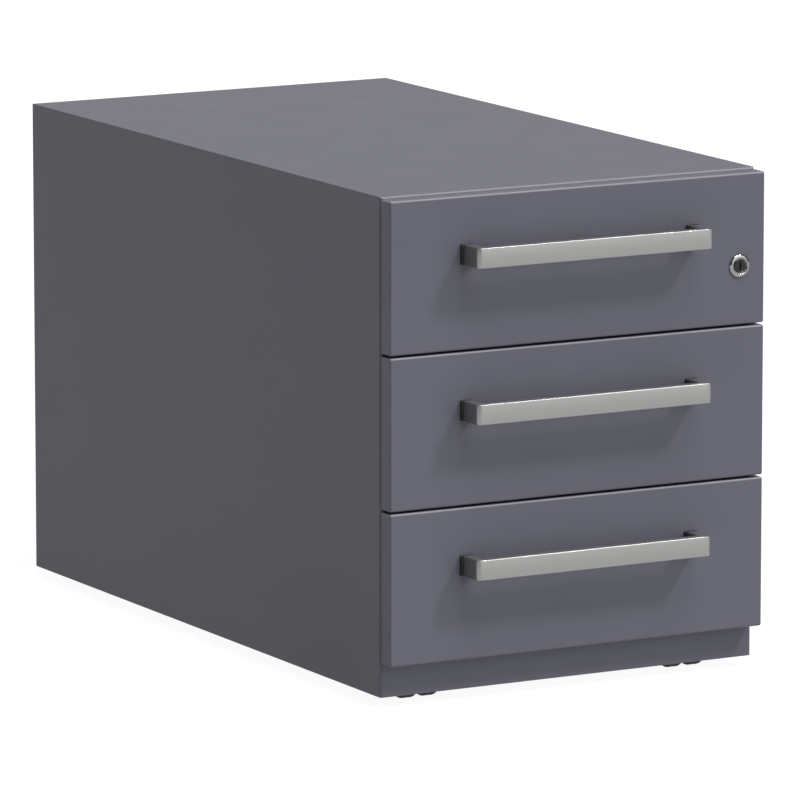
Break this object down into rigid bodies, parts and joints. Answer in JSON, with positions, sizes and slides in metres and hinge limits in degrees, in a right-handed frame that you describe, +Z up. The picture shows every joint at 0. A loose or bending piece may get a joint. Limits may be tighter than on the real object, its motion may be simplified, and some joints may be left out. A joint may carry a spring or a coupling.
{
  "type": "rolling pedestal cabinet",
  "caption": "Low rolling steel pedestal with full-width drawer fronts, bow handles, telescopic rails, a lock and bar, and concealed swivel castors.",
  "frame": {"origin": "on the floor, under the centre of the whole object's box, handles included", "axes": "+Z up; drawer fronts and handles face -Y and drawers open towards -Y; +X is the lock's side, the right-hand side seen from the front"},
  "size_m": [0.42, 0.808, 0.502],
  "materials": {
    "carcass_paint": "fine-textured anthracite powder coat",
    "drawer_paint": "fine-textured anthracite powder coat",
    "handle_metal": "satin silver",
    "lock_chrome": "polished chrome plate",
    "rail_steel": "bright zinc plate",
    "plated_steel": "zinc plate",
    "screw_steel": "zinc-plated screw",
    "castor_black": "moulded black nylon",
    "wheel_black": "moulded black nylon",
    "buffer_rubber": "soft rubber",
    "guide_plastic": "moulded acetal"
  },
  "bodies": {
    "carcass": {"left_side_panel": "carcass_paint", "right_side_panel": "carcass_paint", "top_panel": "carcass_paint", "back_panel": "carcass_paint", "base_panel": "carcass_paint", "plinth_panel": "carcass_paint", "rail_posts": "carcass_paint", "front_buffers": "buffer_rubber", "lock_bar_guides": "guide_plastic", "castor_plates": "plated_steel", "castor_screws": "screw_steel", "outer_rails_1": "rail_steel", "outer_rails_2": "rail_steel", "outer_rails_3": "rail_steel"},
    "drawer_1": {"drawer_front_1": "drawer_paint", "front_liner_1": "drawer_paint", "drawer_tray_1": "drawer_paint", "inner_rails_1": "rail_steel", "handle_1": "handle_metal", "handle_screws_1": "screw_steel", "catch_hook_1": "plated_steel", "lock_body": "lock_chrome", "lock_nut": "plated_steel"},
    "drawer_2": {"drawer_front_2": "drawer_paint", "front_liner_2": "drawer_paint", "drawer_tray_2": "drawer_paint", "inner_rails_2": "rail_steel", "handle_2": "handle_metal", "handle_screws_2": "screw_steel", "catch_hook_2": "plated_steel"},
    "drawer_3": {"drawer_front_3": "drawer_paint", "front_liner_3": "drawer_paint", "drawer_tray_3": "drawer_paint", "inner_rails_3": "rail_steel", "handle_3": "handle_metal", "handle_screws_3": "screw_steel", "catch_hook_3": "plated_steel"},
    "rail_runner_1": {"mid_rails_1": "rail_steel"},
    "rail_runner_2": {"mid_rails_2": "rail_steel"},
    "rail_runner_3": {"mid_rails_3": "rail_steel"},
    "lock_cylinder": {"lock_plug": "lock_chrome", "lock_cam": "plated_steel"},
    "locking_bar": {"lock_bar": "plated_steel"},
    "castor_front_left": {"castor_hood_front_left": "castor_black", "castor_axle_front_left": "plated_steel"},
    "wheel_l_front_left": {"wheel_l_front_left": "wheel_black"},
    "wheel_r_front_left": {"wheel_r_front_left": "wheel_black"},
    "castor_front_right": {"castor_hood_front_right": "castor_black", "castor_axle_front_right": "plated_steel"},
    "wheel_l_front_right": {"wheel_l_front_right": "wheel_black"},
    "wheel_r_front_right": {"wheel_r_front_right": "wheel_black"},
    "castor_rear_left": {"castor_hood_rear_left": "castor_black", "castor_axle_rear_left": "plated_steel"},
    "wheel_l_rear_left": {"wheel_l_rear_left": "wheel_black"},
    "wheel_r_rear_left": {"wheel_r_rear_left": "wheel_black"},
    "castor_rear_right": {"castor_hood_rear_right": "castor_black", "castor_axle_rear_right": "plated_steel"},
    "wheel_l_rear_right": {"wheel_l_rear_right": "wheel_black"},
    "wheel_r_rear_right": {"wheel_r_rear_right": "wheel_black"}
  },
  "joints": [
    {"name": "drawer_1_slide", "type": "slide", "parent": "carcass", "child": "drawer_1", "axis": [0, -1, 0], "range_m": [0, 0.66]},
    {"name": "rail_runner_1_slide", "type": "slide", "parent": "carcass", "child": "rail_runner_1", "axis": [0, -1, 0], "range_m": [0, 0.33]},
    {"name": "drawer_2_slide", "type": "slide", "parent": "carcass", "child": "drawer_2", "axis": [0, -1, 0], "range_m": [0, 0.66]},
    {"name": "rail_runner_2_slide", "type": "slide", "parent": "carcass", "child": "rail_runner_2", "axis": [0, -1, 0], "range_m": [0, 0.33]},
    {"name": "drawer_3_slide", "type": "slide", "parent": "carcass", "child": "drawer_3", "axis": [0, -1, 0], "range_m": [0, 0.66]},
    {"name": "rail_runner_3_slide", "type": "slide", "parent": "carcass", "child": "rail_runner_3", "axis": [0, -1, 0], "range_m": [0, 0.33]},
    {"name": "lock_turn", "type": "hinge", "parent": "drawer_1", "child": "lock_cylinder", "pos_m": [0.181, -0.36, 0.4085], "axis": [0, -1, 0], "range_deg": [0, 90]},
    {"name": "locking_bar_slide", "type": "slide", "parent": "carcass", "child": "locking_bar", "axis": [0, 0, 1], "range_m": [0, 0.0226]},
    {"name": "castor_front_left_swivel", "type": "hinge", "parent": "carcass", "child": "castor_front_left", "pos_m": [-0.151, -0.295, 0.05], "axis": [0, 0, 1], "continuous": true},
    {"name": "wheel_l_front_left_spin", "type": "hinge", "parent": "castor_front_left", "child": "wheel_l_front_left", "pos_m": [-0.151, -0.312, 0.02], "axis": [1, 0, 0], "continuous": true},
    {"name": "wheel_r_front_left_spin", "type": "hinge", "parent": "castor_front_left", "child": "wheel_r_front_left", "pos_m": [-0.151, -0.312, 0.02], "axis": [1, 0, 0], "continuous": true},
    {"name": "castor_front_right_swivel", "type": "hinge", "parent": "carcass", "child": "castor_front_right", "pos_m": [0.151, -0.295, 0.05], "axis": [0, 0, 1], "continuous": true},
    {"name": "wheel_l_front_right_spin", "type": "hinge", "parent": "castor_front_right", "child": "wheel_l_front_right", "pos_m": [0.151, -0.312, 0.02], "axis": [1, 0, 0], "continuous": true},
    {"name": "wheel_r_front_right_spin", "type": "hinge", "parent": "castor_front_right", "child": "wheel_r_front_right", "pos_m": [0.151, -0.312, 0.02], "axis": [1, 0, 0], "continuous": true},
    {"name": "castor_rear_left_swivel", "type": "hinge", "parent": "carcass", "child": "castor_rear_left", "pos_m": [-0.151, 0.348, 0.05], "axis": [0, 0, 1], "continuous": true},
    {"name": "wheel_l_rear_left_spin", "type": "hinge", "parent": "castor_rear_left", "child": "wheel_l_rear_left", "pos_m": [-0.151, 0.331, 0.02], "axis": [1, 0, 0], "continuous": true},
    {"name": "wheel_r_rear_left_spin", "type": "hinge", "parent": "castor_rear_left", "child": "wheel_r_rear_left", "pos_m": [-0.151, 0.331, 0.02], "axis": [1, 0, 0], "continuous": true},
    {"name": "castor_rear_right_swivel", "type": "hinge", "parent": "carcass", "child": "castor_rear_right", "pos_m": [0.151, 0.348, 0.05], "axis": [0, 0, 1], "continuous": true},
    {"name": "wheel_l_rear_right_spin", "type": "hinge", "parent": "castor_rear_right", "child": "wheel_l_rear_right", "pos_m": [0.151, 0.331, 0.02], "axis": [1, 0, 0], "continuous": true},
    {"name": "wheel_r_rear_right_spin", "type": "hinge", "parent": "castor_rear_right", "child": "wheel_r_rear_right", "pos_m": [0.151, 0.331, 0.02], "axis": [1, 0, 0], "continuous": true}
  ],
  "couplings": [
    {"joint": "rail_runner_1_slide", "follows": "drawer_1_slide", "ratio": 0.5},
    {"joint": "rail_runner_2_slide", "follows": "drawer_2_slide", "ratio": 0.5},
    {"joint": "rail_runner_3_slide", "follows": "drawer_3_slide", "ratio": 0.5},
    {"joint": "lock_turn", "follows": "locking_bar_slide", "rad_per_m": 69.42}
  ]
}
